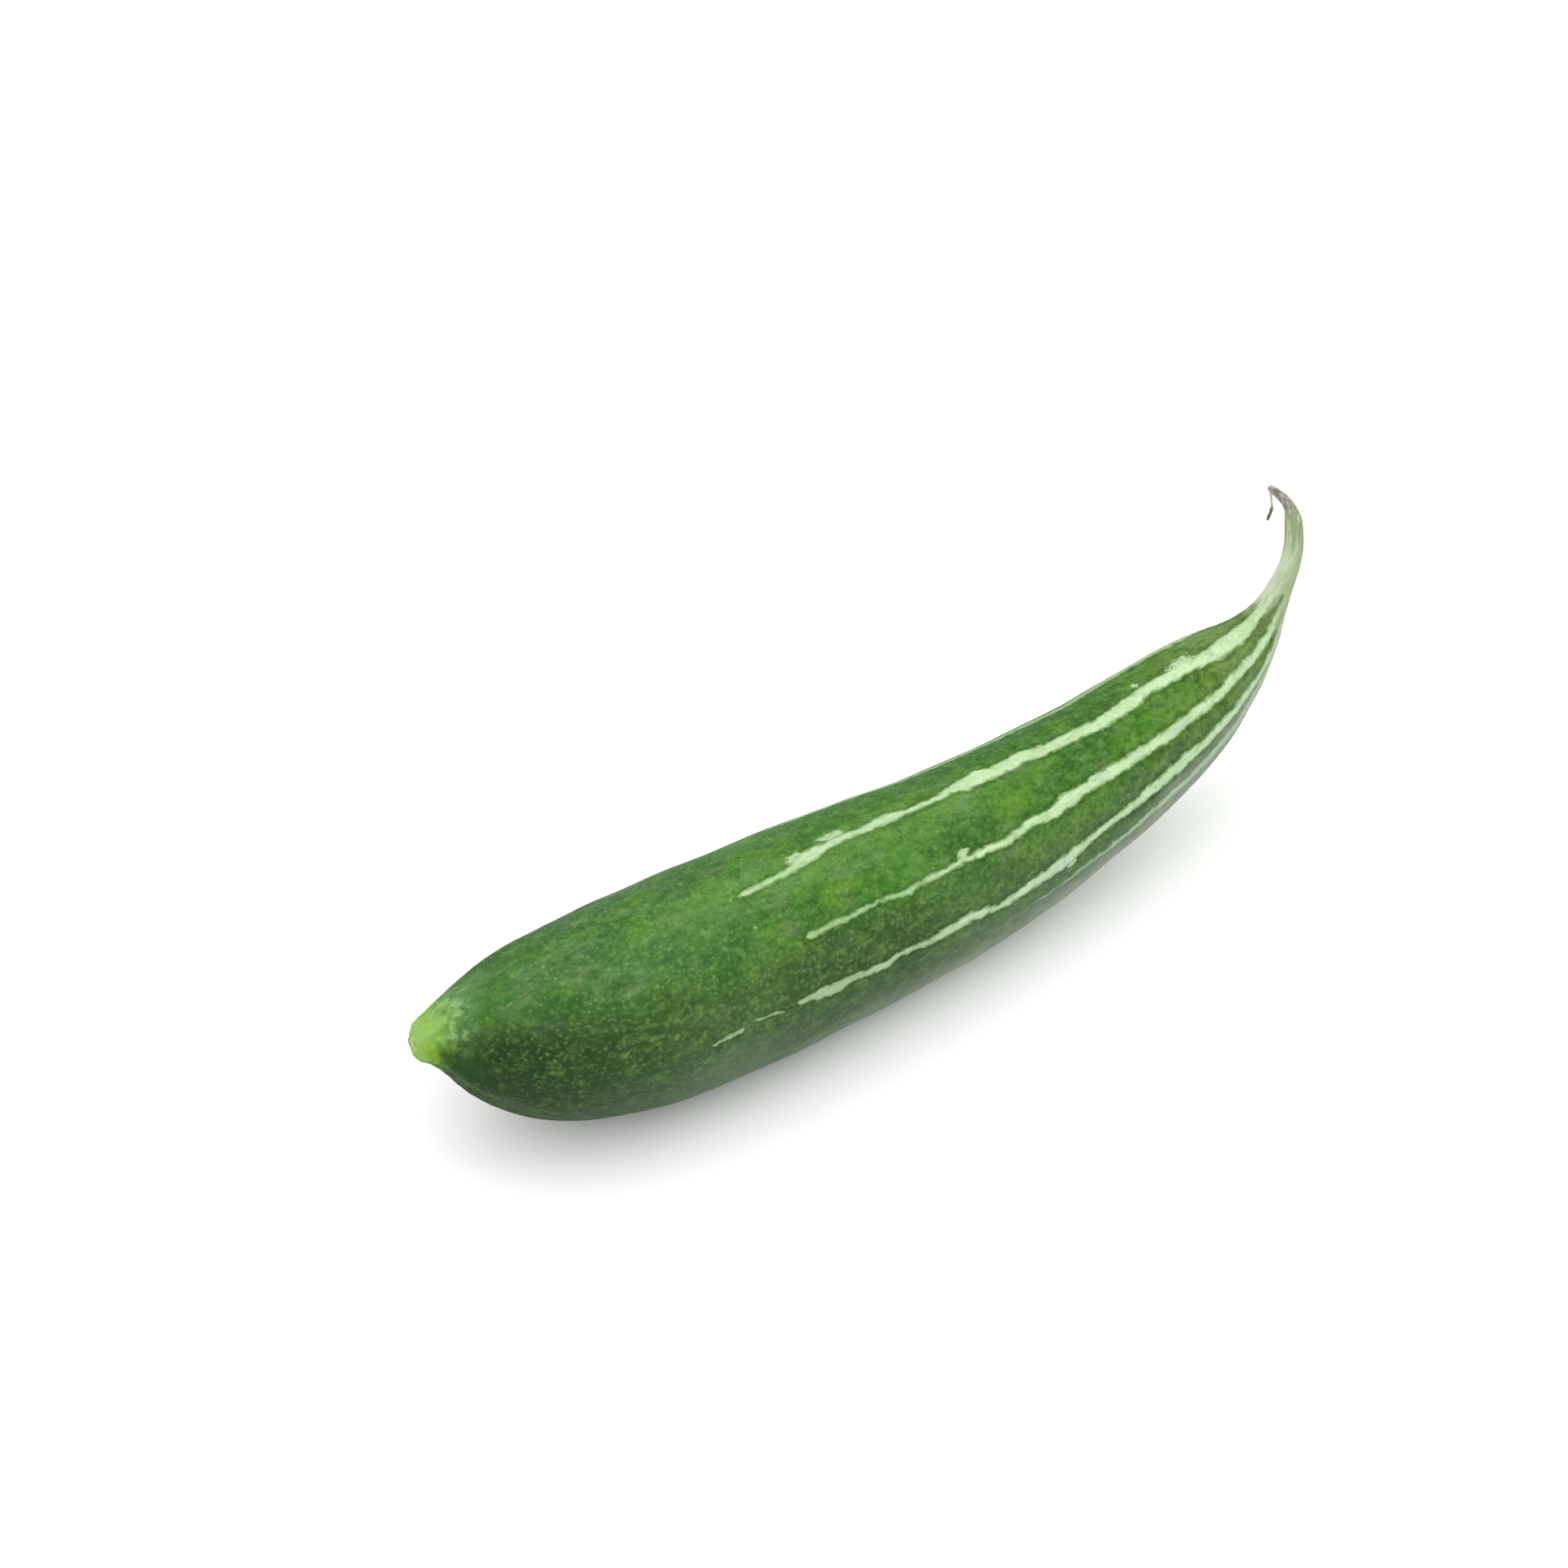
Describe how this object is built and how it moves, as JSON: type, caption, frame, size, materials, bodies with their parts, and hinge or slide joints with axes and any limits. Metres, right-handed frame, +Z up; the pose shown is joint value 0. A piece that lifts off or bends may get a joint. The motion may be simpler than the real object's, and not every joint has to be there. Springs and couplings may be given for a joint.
{
  "type": "snake gourd",
  "caption": "Whole picked snake gourd of the short striped kind, lying on its side on a small flat spot, with a stub of stalk at one end and a thin dried beak that curls up at the other.",
  "frame": {"origin": "on the surface that the gourd lies on, under the middle of its box", "axes": "+X from the stalk towards the beak, along the gourd's length; +Z up from the surface; +Y towards the side that the beak curls to"},
  "size_m": [0.2694, 0.0534, 0.0617],
  "materials": {
    "gourd_skin": "living plant skin, dull and slightly waxy: deep green with fine pale speckles on the stalk half, ragged pale green stripes that widen and join towards a pale beak, a yellow-green stalk stub and a dry brown tip"
  },
  "bodies": {
    "root": {"snake_gourd": "gourd_skin"}
  },
  "joints": []
}
